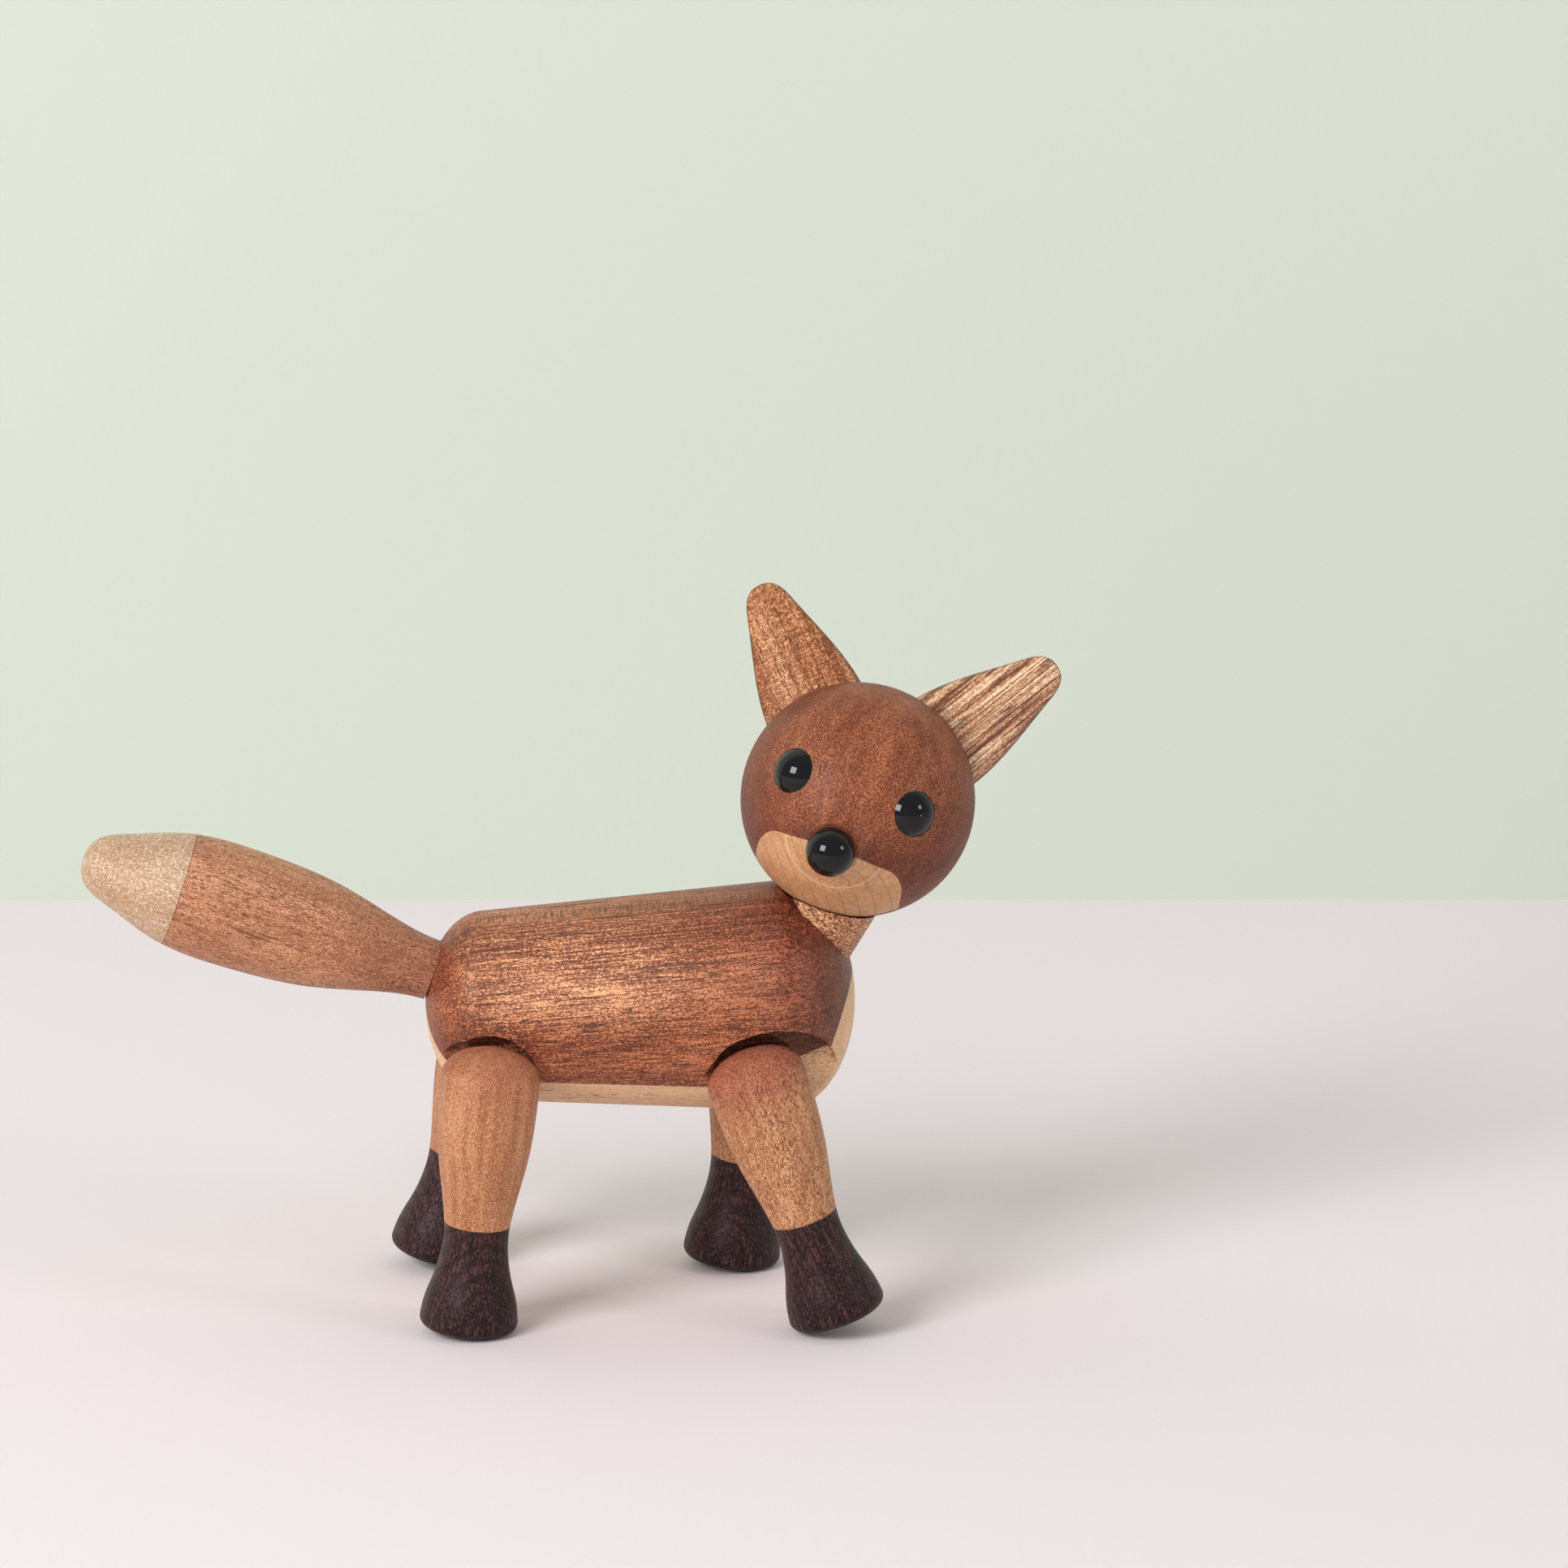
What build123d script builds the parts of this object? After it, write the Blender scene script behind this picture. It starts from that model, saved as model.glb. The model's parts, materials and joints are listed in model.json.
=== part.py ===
from build123d import *
from math import acos, atan2, cos, degrees, hypot, radians, sin, sqrt, tan
import os

os.makedirs("parts", exist_ok=True)

# A standing wooden fox with turning legs, head and tail, in the pose of the photograph.
# Millimetres and degrees. +X is the way the fox faces, +Y its left side, +Z up.
# The origin lies on the floor under the middle of the trunk.

# Trunk: a turned barrel, thicker towards the chest, with an elliptical dome at each end that
# stops at the small flat of the lathe centre.
trunk_pitch = 2.0
trunk_rear_radius = 17.5
trunk_rear_x = -28.0
trunk_rear_dome = 11.5
trunk_front_radius = 21.2
trunk_front_x = 25.8
trunk_front_dome = 14.0
lathe_flat = 0.6

# Belly wedge: a pale right-angled wedge along the underside, its ridge just above the axis.
# In front it widens to the bib, parted from the back by one slanted cut.
wedge_rise = 3.5
wedge_half_angle = 45.0
bib_depth = 2.2
bib_slant = 22.3

# Hips: a countersunk pocket for each leg, in a round facet that turns in towards the near end
# of the trunk, and one cross dowel for each pair of legs.
fore_hip_x = 22.3
hind_hip_x = -27.4
hip_below_axis = 11.0
hip_half_width = 12.3
hip_gap = 0.3
pocket_taper = 13.5
pocket_clearance = 0.3
facet_toe = 17.0
fore_facet_height = 1.8
fore_facet_shift = 1.95
fore_facet_margin = 4.35
fore_facet_headroom = 3.35
hind_facet_height = 1.2
hind_facet_shift = -0.7
hind_facet_margin = 1.15
hind_facet_headroom = 0.4
axle_radius = 2.5
axle_reach = 13.0

# Legs: turned, with a flattened dome, tapering to the ankle. Heights run from the hip axis.
leg_radius = 9.15
leg_top = 7.8
leg_dome = 5.6
leg_mid_radius = 8.35
leg_mid_drop = 12.5
ankle_radius = 6.1
ankle_drop = 25.6
leg_flat_depth = 0.35
right_fore_swing = 18.6
left_fore_swing = -7.0
right_hind_swing = -5.2
left_hind_swing = -13.5

# Feet: dark trumpets with a flat sole and a rounded edge.
foot_height = 20.1
waist_radius = 6.0
waist_drop = 3.6
flare_radius = 7.35
flare_drop = 10.9
sole_radius = 9.05
sole_edge = 1.8
ankle_dowel_radius = 2.0
ankle_dowel_depth = 8.0

# Neck: an egg cup on a slanted flat of the chest, leaning forward.
neck_seat_angle = 45.0
neck_seat_depth = 3.0
neck_seat_slant = 59.0
neck_lean = 18.0
neck_wall = 3.0
neck_radius = 8.8
neck_flare = 12.7
neck_dowel_radius = 3.0
neck_dowel_depth = 8.0
neck_dowel_top = 5.0

# Head: a ball that turns about the neck, here turned to look over its right side.
head_radius = 21.6
head_gap = 0.3
head_turn = -99.0
eye_azimuth = 34.0
eye_radius = 4.25
eye_sink = 1.2
eye_bulge = 1.8
eye_peg_radius = 1.5
eye_peg_depth = 5.0

# Snout and muzzle: a flared boss on the ball, its lower half part of the pale muzzle block.
nose_droop = 28.5
snout_base_radius = 9.6
snout_waist_radius = 6.6
snout_tip_radius = 5.0
snout_length = 2.0
nose_radius = 4.55
nose_stand_off = 3.6
nose_peg_radius = 1.75
nose_peg_depth = 6.0
muzzle_top = 11.3
muzzle_half_width = 14.0
muzzle_corner = 3.3
muzzle_back = 1.5

# Ears: flat petals with an elliptical section, hollowed to sit on the ball.
right_ear_spread = 44.5
left_ear_spread = 35.5
ear_back = 9.0
ear_half_width = 9.7
ear_half_thickness = 4.4
ear_height = 23.3
ear_mid_half_width = 8.0
ear_mid_height = 7.0
ear_upper_half_width = 4.7
ear_upper_height = 18.0
ear_dowel_radius = 2.0
ear_dowel_depth = 7.0

# Tail: a turned club on a peg, seated square in a shallow spot face on the rear dome.
tail_seat_angle = 24.6
tail_seat_depth = 0.9
tail_rise = 18.4
tail_root_radius = 5.6
tail_neck_radius = 6.9
tail_neck_length = 9.0
tail_swell_radius = 10.0
tail_swell_length = 22.0
tail_max_radius = 11.2
tail_max_length = 38.0
tail_seam_radius = 10.6
tail_seam_length = 49.5
tail_end_radius = 7.0
tail_end_length = 61.0
tail_length = 68.0
tail_gap = 0.3
tail_peg_radius = 2.5
tail_peg_depth = 9.0
tail_peg_reach = 14.0
tail_dowel_radius = 2.5
tail_dowel_depth = 8.0

# Rubber rings: round in section, set in the dowels, with room to turn in the moving piece.
ring_section = 0.8
ring_stand = 0.15
ring_clearance = 0.05
turn_clearance = 0.05
end_gap = 0.3


def lathe(frame):
    """Sketch plane through the turning axis of frame: x is the radius, y runs along its z."""
    return Plane(frame.origin, x_dir=frame.x_dir, z_dir=-frame.y_dir)


def spindle(frame):
    return Axis(frame.origin, frame.z_dir)


def on_face(x_dir, z_dir, x=0):
    """Frame given in the frame of the face: x forward, y to the left ear, z to the crown."""
    return Plane(face.location * Plane((x, 0, 0), x_dir=x_dir, z_dir=z_dir).location)


def facet(hip_x, height, side, toe):
    """Plane of a leg facet, raised from the floor of the pocket: x runs forward."""
    across = Vector(sin(radians(toe)), side * cos(radians(toe)), 0)
    along = Vector(cos(radians(toe)), -side * sin(radians(toe)), 0)
    return Plane((hip_x, side * (hip_half_width + height), hip_height), x_dir=along, z_dir=across)


def sole_depth(swing):
    """How far the lowest point of a foot lies below its hip when the leg is swung."""
    turn = radians(abs(swing))
    return (sole_drop - sole_edge) * cos(turn) + (sole_radius - sole_edge) * sin(turn) + sole_edge


# Heights that follow from the legs: the longest reach stands on the floor.
sole_drop = ankle_drop + foot_height
swings = (right_fore_swing, left_fore_swing, right_hind_swing, left_hind_swing)
hip_height = max(sole_depth(swing) for swing in swings)
trunk_height = hip_height + hip_below_axis
leg_y = hip_half_width + hip_gap + leg_radius - leg_flat_depth

# Frames: z of the trunk frame runs forward along the barrel, x to the left and y up.
pitch = radians(trunk_pitch)
trunk = Plane((0, 0, trunk_height), x_dir=(0, 1, 0), z_dir=(cos(pitch), 0, sin(pitch)))
seat_turn = radians(neck_seat_angle)
seat_normal = Vector(sin(radians(neck_seat_slant)), 0, cos(radians(neck_seat_slant)))
chest_x = trunk_front_x + trunk_front_dome * cos(seat_turn)
chest = trunk.from_local_coords(Vector(0, trunk_front_radius * sin(seat_turn), chest_x))
seat = Plane(chest - seat_normal * neck_seat_depth, x_dir=(0, 1, 0), z_dir=seat_normal)
neck_up = Vector(sin(radians(neck_lean)), 0, cos(radians(neck_lean)))
stem = Plane(seat.origin, x_dir=(0, 1, 0), z_dir=neck_up)
head_centre = seat.origin + neck_up * (neck_wall + head_gap + head_radius)
neck_axis = Axis(head_centre, neck_up)
look = Vector(1, 0, 0).rotate(Axis((0, 0, 0), neck_up), head_turn)
crown = Vector(0, 0, 1).rotate(Axis((0, 0, 0), neck_up), head_turn)
face = Plane(head_centre, x_dir=look, z_dir=crown)
rump_turn = radians(tail_seat_angle)
rump_x = trunk_rear_x - trunk_rear_dome * cos(rump_turn)
rump = trunk.from_local_coords(Vector(0, trunk_rear_radius * sin(rump_turn), rump_x))
tail_out = Vector(-cos(radians(tail_rise)), 0, sin(radians(tail_rise)))
brush = Plane(rump - tail_out * tail_seat_depth, x_dir=(0, 1, 0), z_dir=tail_out)

# Trunk as one turned blank, before it is parted along the belly wedge.
taper = (trunk_front_radius - trunk_rear_radius) / (trunk_front_x - trunk_rear_x)
rear_lag = degrees(atan2(taper * trunk_rear_dome, trunk_rear_radius))
front_lag = degrees(atan2(taper * trunk_front_dome, trunk_front_radius))
rear_stop = degrees(acos(lathe_flat / trunk_rear_radius))
front_stop = degrees(acos(lathe_flat / trunk_front_radius))
flank = 2 * max(trunk_front_radius, trunk_rear_radius)
neck_dowel_length = neck_dowel_depth + neck_wall + head_gap + head_radius - neck_dowel_top
dowel_foot = Plane(seat.origin - neck_up * neck_dowel_depth, x_dir=(0, 1, 0), z_dir=neck_up)

with BuildPart() as barrel:
    with BuildSketch(lathe(trunk)):
        with BuildLine():
            rear_dome = EllipticalCenterArc(
                (0, trunk_rear_x),
                trunk_rear_radius,
                trunk_rear_dome,
                -rear_stop,
                arc_size=rear_stop - rear_lag,
            )
            front_dome = EllipticalCenterArc(
                (0, trunk_front_x),
                trunk_front_radius,
                trunk_front_dome,
                -front_lag,
                arc_size=front_stop + front_lag,
            )
            Line(rear_dome @ 1, front_dome @ 0)
            Polyline(
                front_dome @ 1, (0, (front_dome @ 1).Y), (0, (rear_dome @ 0).Y), rear_dome @ 0
            )
        make_face()
    revolve(axis=spindle(trunk))

# What is cut from the barrel at the hips: a pocket and a facet for each leg and two cross
# bores. The pocket lets the shoulder of a leg pass as it swings.
shoulder = hypot(leg_radius, leg_top - leg_dome + leg_dome / 4)
pocket_rim = shoulder + pocket_clearance
pocket_depth = leg_y - hip_half_width
pocket_slope = tan(radians(pocket_taper))
fore_facet_radius = leg_radius + fore_facet_margin
hind_facet_radius = leg_radius + hind_facet_margin
fore_facet_z = leg_top + fore_facet_headroom - fore_facet_radius
hind_facet_z = leg_top + hind_facet_headroom - hind_facet_radius

with BuildPart() as hip_cuts:
    for side in (1, -1):
        for hip_x in (fore_hip_x, hind_hip_x):
            floor = (hip_x, side * hip_half_width, hip_height)
            with Locations(Plane(floor, x_dir=(1, 0, 0), z_dir=(0, side, 0))):
                Cone(
                    pocket_rim - pocket_depth * pocket_slope,
                    pocket_rim + pocket_depth * pocket_slope,
                    2 * pocket_depth,
                    align=(Align.CENTER, Align.CENTER, Align.MIN),
                )
        with BuildSketch(facet(fore_hip_x, fore_facet_height, side, facet_toe)):
            with Locations((fore_facet_shift, -side * fore_facet_z)):
                Circle(fore_facet_radius)
        extrude(amount=flank)
        with BuildSketch(facet(hind_hip_x, hind_facet_height, side, -facet_toe)):
            with Locations((hind_facet_shift, -side * hind_facet_z)):
                Circle(hind_facet_radius)
        extrude(amount=flank)
    with BuildSketch(Plane.XZ):
        with Locations((fore_hip_x, hip_height), (hind_hip_x, hip_height)):
            Circle(axle_radius)
    extrude(amount=flank, both=True)

# Neck before its top is hollowed: a cone standing on the slanted seat in the chest.
cone_down = neck_radius + neck_wall
cone_up = head_radius / 2

with BuildPart() as neck_blank:
    with Locations(stem.offset(-cone_down)):
        Cone(
            neck_radius - cone_down * tan(radians(neck_flare)),
            neck_radius + cone_up * tan(radians(neck_flare)),
            cone_down + cone_up,
            align=(Align.CENTER, Align.CENTER, Align.MIN),
        )
    with BuildSketch(seat):
        Rectangle(2 * flank, 2 * flank)
    extrude(amount=-flank, mode=Mode.SUBTRACT)

# What is cut from it at the ends: the seat of the neck, the hollow in which the ball of the
# head turns, the bore of the neck dowel, and the spot face and bore of the tail.
with BuildPart() as end_cuts:
    add(neck_blank.part)
    with Locations(head_centre):
        Sphere(head_radius + head_gap)
    with Locations(dowel_foot):
        Cylinder(
            neck_dowel_radius,
            neck_dowel_length,
            align=(Align.CENTER, Align.CENTER, Align.MIN),
        )
    with Locations(brush):
        Cylinder(
            tail_root_radius + tail_gap,
            trunk_rear_dome,
            align=(Align.CENTER, Align.CENTER, Align.MIN),
        )
        Cylinder(
            tail_peg_radius,
            tail_peg_depth,
            align=(Align.CENTER, Align.CENTER, Align.MAX),
        )

wedge_spread = flank * tan(radians(wedge_half_angle))
trunk_length = trunk_front_x + trunk_front_dome - trunk_rear_x + trunk_rear_dome

with BuildPart() as trunk_blank:
    add(barrel.part)
    add(hip_cuts.part, mode=Mode.SUBTRACT)
    add(end_cuts.part, mode=Mode.SUBTRACT)

bib_turn = radians(bib_slant)
bib_origin = trunk.from_local_coords(Vector(0, 0, trunk_front_x + trunk_front_dome - bib_depth))
bib_normal = trunk.z_dir * cos(bib_turn) - trunk.y_dir * sin(bib_turn)

with BuildPart() as pale_share:
    with BuildSketch(trunk):
        with Locations((0, wedge_rise)):
            Polygon((0, 0), (-wedge_spread, -flank), (wedge_spread, -flank), align=None)
    extrude(amount=trunk_length, both=True)
    with BuildSketch(Plane(bib_origin, x_dir=trunk.x_dir, z_dir=bib_normal)):
        Rectangle(2 * flank, 2 * flank)
    extrude(amount=trunk_length)

with BuildPart() as body_back:
    add(trunk_blank.part)
    add(pale_share.part, mode=Mode.SUBTRACT)

with BuildPart() as belly_wedge:
    add(trunk_blank.part)
    add(pale_share.part, mode=Mode.INTERSECT)

# Cross dowels of the legs, each with a ring groove near both ends, and their rubber rings.
axle_half = hip_half_width + hip_gap + axle_reach
ring_radius = axle_radius + ring_stand

with BuildPart() as fore_axle:
    with Locations(Plane((fore_hip_x, 0, hip_height), x_dir=(1, 0, 0), z_dir=(0, 1, 0))):
        Cylinder(axle_radius, 2 * axle_half)
        with Locations((0, 0, leg_y), (0, 0, -leg_y)):
            Torus(ring_radius, ring_section, mode=Mode.SUBTRACT)

with BuildPart() as hind_axle:
    with Locations(Plane((hind_hip_x, 0, hip_height), x_dir=(1, 0, 0), z_dir=(0, 1, 0))):
        Cylinder(axle_radius, 2 * axle_half)
        with Locations((0, 0, leg_y), (0, 0, -leg_y)):
            Torus(ring_radius, ring_section, mode=Mode.SUBTRACT)

with BuildPart() as hip_rings:
    for hip_x in (fore_hip_x, hind_hip_x):
        with Locations(Plane((hip_x, 0, hip_height), x_dir=(1, 0, 0), z_dir=(0, 1, 0))):
            with Locations((0, 0, leg_y), (0, 0, -leg_y)):
                Torus(ring_radius, ring_section)

# One leg at its hip, with the trunk on its +Y side: all four legs are alike.
with BuildPart() as leg:
    with BuildSketch(Plane.XZ):
        with BuildLine():
            dome = EllipticalCenterArc((0, leg_top - leg_dome), leg_radius, leg_dome)
            calf = Spline(
                dome @ 0,
                (leg_mid_radius, -leg_mid_drop),
                (ankle_radius, -ankle_drop),
                tangents=((0, -1), (-0.12, -1)),
            )
            Polyline(calf @ 1, (0, -ankle_drop), dome @ 1)
        make_face()
    revolve(axis=Axis.Z)
    with Locations((0, leg_radius - leg_flat_depth, 0)):
        Box(
            4 * leg_radius,
            leg_radius,
            4 * leg_radius,
            align=(Align.CENTER, Align.MIN, Align.CENTER),
            mode=Mode.SUBTRACT,
        )
    with Locations(Plane((0, leg_radius, 0), x_dir=(1, 0, 0), z_dir=(0, -1, 0))):
        Cylinder(
            axle_radius + turn_clearance,
            leg_flat_depth + axle_reach + end_gap,
            align=(Align.CENTER, Align.CENTER, Align.MIN),
            mode=Mode.SUBTRACT,
        )
    with Locations(Plane((0, 0, 0), x_dir=(1, 0, 0), z_dir=(0, 1, 0))):
        Torus(ring_radius, ring_section + ring_clearance, mode=Mode.SUBTRACT)
    with Locations((0, 0, -ankle_drop)):
        Cylinder(ankle_dowel_radius, 2 * ankle_dowel_depth, mode=Mode.SUBTRACT)

with BuildPart() as foot:
    with BuildSketch(Plane.XZ):
        with BuildLine():
            flare = Spline(
                (ankle_radius, -ankle_drop),
                (waist_radius, -ankle_drop - waist_drop),
                (flare_radius, -ankle_drop - flare_drop),
                (sole_radius, -sole_drop + sole_edge),
                tangents=((-0.12, -1), (0.08, -1)),
            )
            edge = RadiusArc(flare @ 1, (sole_radius - sole_edge, -sole_drop), sole_edge)
            Polyline(edge @ 1, (0, -sole_drop), (0, -ankle_drop), flare @ 0)
        make_face()
    revolve(axis=Axis.Z)
    with Locations((0, 0, -ankle_drop)):
        Cylinder(ankle_dowel_radius, 2 * ankle_dowel_depth, mode=Mode.SUBTRACT)

with BuildPart() as ankle_dowel:
    with Locations((0, 0, -ankle_drop)):
        Cylinder(ankle_dowel_radius, 2 * ankle_dowel_depth)

# The four legs at their hips: a positive swing carries the foot forward.
right_fore = Plane((fore_hip_x, -leg_y, hip_height)).rotated((0, -right_fore_swing, 0))
right_hind = Plane((hind_hip_x, -leg_y, hip_height)).rotated((0, -right_hind_swing, 0))
left_fore = Plane((fore_hip_x, leg_y, hip_height)).rotated((0, -left_fore_swing, 180))
left_hind = Plane((hind_hip_x, leg_y, hip_height)).rotated((0, -left_hind_swing, 180))

with BuildPart() as right_fore_leg:
    with Locations(right_fore):
        add(leg.part)

with BuildPart() as right_fore_foot:
    with Locations(right_fore):
        add(foot.part)

with BuildPart() as right_fore_ankle_dowel:
    with Locations(right_fore):
        add(ankle_dowel.part)

with BuildPart() as right_hind_leg:
    with Locations(right_hind):
        add(leg.part)

with BuildPart() as right_hind_foot:
    with Locations(right_hind):
        add(foot.part)

with BuildPart() as right_hind_ankle_dowel:
    with Locations(right_hind):
        add(ankle_dowel.part)

with BuildPart() as left_fore_leg:
    with Locations(left_fore):
        add(leg.part)

with BuildPart() as left_fore_foot:
    with Locations(left_fore):
        add(foot.part)

with BuildPart() as left_fore_ankle_dowel:
    with Locations(left_fore):
        add(ankle_dowel.part)

with BuildPart() as left_hind_leg:
    with Locations(left_hind):
        add(leg.part)

with BuildPart() as left_hind_foot:
    with Locations(left_hind):
        add(foot.part)

with BuildPart() as left_hind_ankle_dowel:
    with Locations(left_hind):
        add(ankle_dowel.part)

# Neck cup: the seat of the ball is turned into its top.
with BuildPart() as neck:
    add(neck_blank.part)
    with Locations(head_centre):
        Sphere(head_radius + head_gap, mode=Mode.SUBTRACT)
    with Locations(dowel_foot):
        Cylinder(
            neck_dowel_radius,
            neck_dowel_length,
            align=(Align.CENTER, Align.CENTER, Align.MIN),
            mode=Mode.SUBTRACT,
        )

# Neck dowel, glued in trunk and neck: the head turns on its upper end.
head_ring_radius = neck_dowel_radius + ring_stand
head_ring_plane = Plane(
    head_centre - neck_up * (head_radius + neck_dowel_top) / 2, x_dir=(0, 1, 0), z_dir=neck_up
)

with BuildPart() as neck_dowel:
    with Locations(dowel_foot):
        Cylinder(
            neck_dowel_radius,
            neck_dowel_length,
            align=(Align.CENTER, Align.CENTER, Align.MIN),
        )
    with Locations(head_ring_plane):
        Torus(head_ring_radius, ring_section, mode=Mode.SUBTRACT)

with BuildPart() as head_ring:
    with Locations(head_ring_plane):
        Torus(head_ring_radius, ring_section)

# Small pieces of the head, each on its own radius of the ball.
gaze = (cos(radians(eye_azimuth)), sin(radians(eye_azimuth)))
right_gaze = on_face((0, 0, 1), (gaze[0], -gaze[1], 0))
left_gaze = on_face((0, 0, 1), (gaze[0], gaze[1], 0))
eye_seat = head_radius - eye_sink
eye_rim = sqrt(head_radius**2 - eye_radius**2)
eye_top = head_radius + eye_bulge
cap_radius = (eye_radius**2 + (eye_top - eye_rim) ** 2) / (2 * (eye_top - eye_rim))
cap_start = degrees(atan2(eye_rim - eye_top + cap_radius, eye_radius))

with BuildPart() as eye:
    with BuildSketch(Plane.XZ):
        with BuildLine():
            bulge = CenterArc((0, eye_top - cap_radius), cap_radius, cap_start, 90 - cap_start)
            Polyline(
                bulge @ 1,
                (0, eye_seat - eye_peg_depth),
                (eye_peg_radius, eye_seat - eye_peg_depth),
                (eye_peg_radius, eye_seat),
                (eye_radius, eye_seat),
                bulge @ 0,
            )
        make_face()
    revolve(axis=Axis.Z)

with BuildPart() as right_eye:
    with Locations(right_gaze):
        add(eye.part)

with BuildPart() as left_eye:
    with Locations(left_gaze):
        add(eye.part)

droop = radians(nose_droop)
nose_line = on_face((0, 1, 0), (cos(droop), 0, -sin(droop)))
nose_reach = head_radius + nose_stand_off

with BuildPart() as nose_bead:
    with Locations(nose_line.offset(nose_reach)):
        Sphere(nose_radius)
        Cylinder(
            nose_peg_radius,
            nose_radius + nose_peg_depth,
            align=(Align.CENTER, Align.CENTER, Align.MAX),
        )

# Ear at the crown of a ball about the origin: a turned petal pressed flat front to back.
with BuildPart() as ear:
    with BuildSketch(Plane.XZ):
        with BuildLine():
            petal = Spline(
                (ear_half_width, head_radius - ear_half_width / 2),
                (ear_mid_half_width, head_radius + ear_mid_height),
                (ear_upper_half_width, head_radius + ear_upper_height),
                (0, head_radius + ear_height),
                tangents=((0, 1), (-1, 0)),
            )
            Polyline(petal @ 1, (0, head_radius - ear_half_width / 2), petal @ 0)
        make_face()
    revolve(axis=Axis.Z)
    scale(by=(1, ear_half_thickness / ear_half_width, 1), mode=Mode.REPLACE)
    Sphere(head_radius, mode=Mode.SUBTRACT)
    with Locations((0, 0, head_radius)):
        Cylinder(ear_dowel_radius, 2 * ear_dowel_depth, mode=Mode.SUBTRACT)

with BuildPart() as ear_dowel:
    with Locations((0, 0, head_radius)):
        Cylinder(ear_dowel_radius, 2 * ear_dowel_depth)


def perch(spread):
    """Frame of an ear: leaning out by spread from the crown, to the left when positive."""
    up = cos(radians(spread)) * cos(radians(ear_back))
    out = sin(radians(spread)) * cos(radians(ear_back))
    return on_face((0, -up, out), (-sin(radians(ear_back)), out, up))


right_perch = perch(-right_ear_spread)
left_perch = perch(left_ear_spread)

with BuildPart() as right_ear:
    with Locations(right_perch):
        add(ear.part)

with BuildPart() as left_ear:
    with Locations(left_perch):
        add(ear.part)

with BuildPart() as right_ear_dowel:
    with Locations(right_perch):
        add(ear_dowel.part)

with BuildPart() as left_ear_dowel:
    with Locations(left_perch):
        add(ear_dowel.part)

# Ball with its snout, bored for the neck dowel and all that is set in it.
snout_root = sqrt(head_radius**2 - snout_base_radius**2)
snout_tip = head_radius + snout_length

with BuildPart() as head_blank:
    with Locations(head_centre):
        Sphere(head_radius)
    with BuildSketch(lathe(nose_line)):
        with BuildLine():
            cove = Spline(
                (snout_base_radius, snout_root),
                (snout_waist_radius, (2 * snout_root + snout_tip) / 3 + snout_length / 4),
                (snout_tip_radius, snout_tip),
            )
            Polyline(cove @ 1, (0, snout_tip), (0, 0), (snout_base_radius, snout_root))
        make_face()
    revolve(axis=spindle(nose_line))
    with Locations(Plane(head_centre, x_dir=(0, 1, 0), z_dir=-neck_up)):
        with Locations((0, 0, neck_dowel_top - end_gap)):
            Cylinder(
                neck_dowel_radius + turn_clearance,
                head_radius,
                align=(Align.CENTER, Align.CENTER, Align.MIN),
                mode=Mode.SUBTRACT,
            )
    with Locations(head_ring_plane):
        Torus(head_ring_radius, ring_section + ring_clearance, mode=Mode.SUBTRACT)
    add(right_eye.part, mode=Mode.SUBTRACT)
    add(left_eye.part, mode=Mode.SUBTRACT)
    add(nose_bead.part, mode=Mode.SUBTRACT)
    add(right_ear_dowel.part, mode=Mode.SUBTRACT)
    add(left_ear_dowel.part, mode=Mode.SUBTRACT)

muzzle_mouth = on_face((0, 1, 0), (1, 0, 0), muzzle_back)

with BuildPart() as head_ball:
    add(head_blank.part)
    with BuildSketch(muzzle_mouth) as tongue:
        with Locations((0, -muzzle_top)):
            Rectangle(2 * muzzle_half_width, 2 * head_radius, align=(Align.CENTER, Align.MAX))
        fillet(tongue.vertices().group_by(Axis.Y)[-1], muzzle_corner)
    extrude(amount=2 * head_radius, mode=Mode.SUBTRACT)

with BuildPart() as muzzle_block:
    add(head_blank.part)
    with BuildSketch(muzzle_mouth) as tongue:
        with Locations((0, -muzzle_top)):
            Rectangle(2 * muzzle_half_width, 2 * head_radius, align=(Align.CENTER, Align.MAX))
        fillet(tongue.vertices().group_by(Axis.Y)[-1], muzzle_corner)
    extrude(amount=2 * head_radius, mode=Mode.INTERSECT)

# Tail on its peg, with the pale end dowelled on.
tail_ring_radius = tail_peg_radius + ring_stand
tail_ring_plane = brush.offset(tail_gap + tail_peg_reach / 2)
tail_seam = brush.offset(tail_seam_length)

with BuildPart() as tail:
    with BuildSketch(lathe(brush)):
        with BuildLine():
            club = Spline(
                (tail_root_radius, tail_gap),
                (tail_neck_radius, tail_neck_length),
                (tail_swell_radius, tail_swell_length),
                (tail_max_radius, tail_max_length),
                (tail_seam_radius, tail_seam_length),
                tangents=((0.02, 1), (-0.16, 1)),
            )
            Polyline(club @ 1, (0, tail_seam_length), (0, tail_gap), club @ 0)
        make_face()
    revolve(axis=spindle(brush))
    with Locations(brush):
        Cylinder(
            tail_peg_radius + turn_clearance,
            tail_gap + tail_peg_reach + end_gap,
            align=(Align.CENTER, Align.CENTER, Align.MIN),
            mode=Mode.SUBTRACT,
        )
    with Locations(tail_ring_plane):
        Torus(tail_ring_radius, ring_section + ring_clearance, mode=Mode.SUBTRACT)
    with Locations(tail_seam):
        Cylinder(tail_dowel_radius, 2 * tail_dowel_depth, mode=Mode.SUBTRACT)

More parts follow.
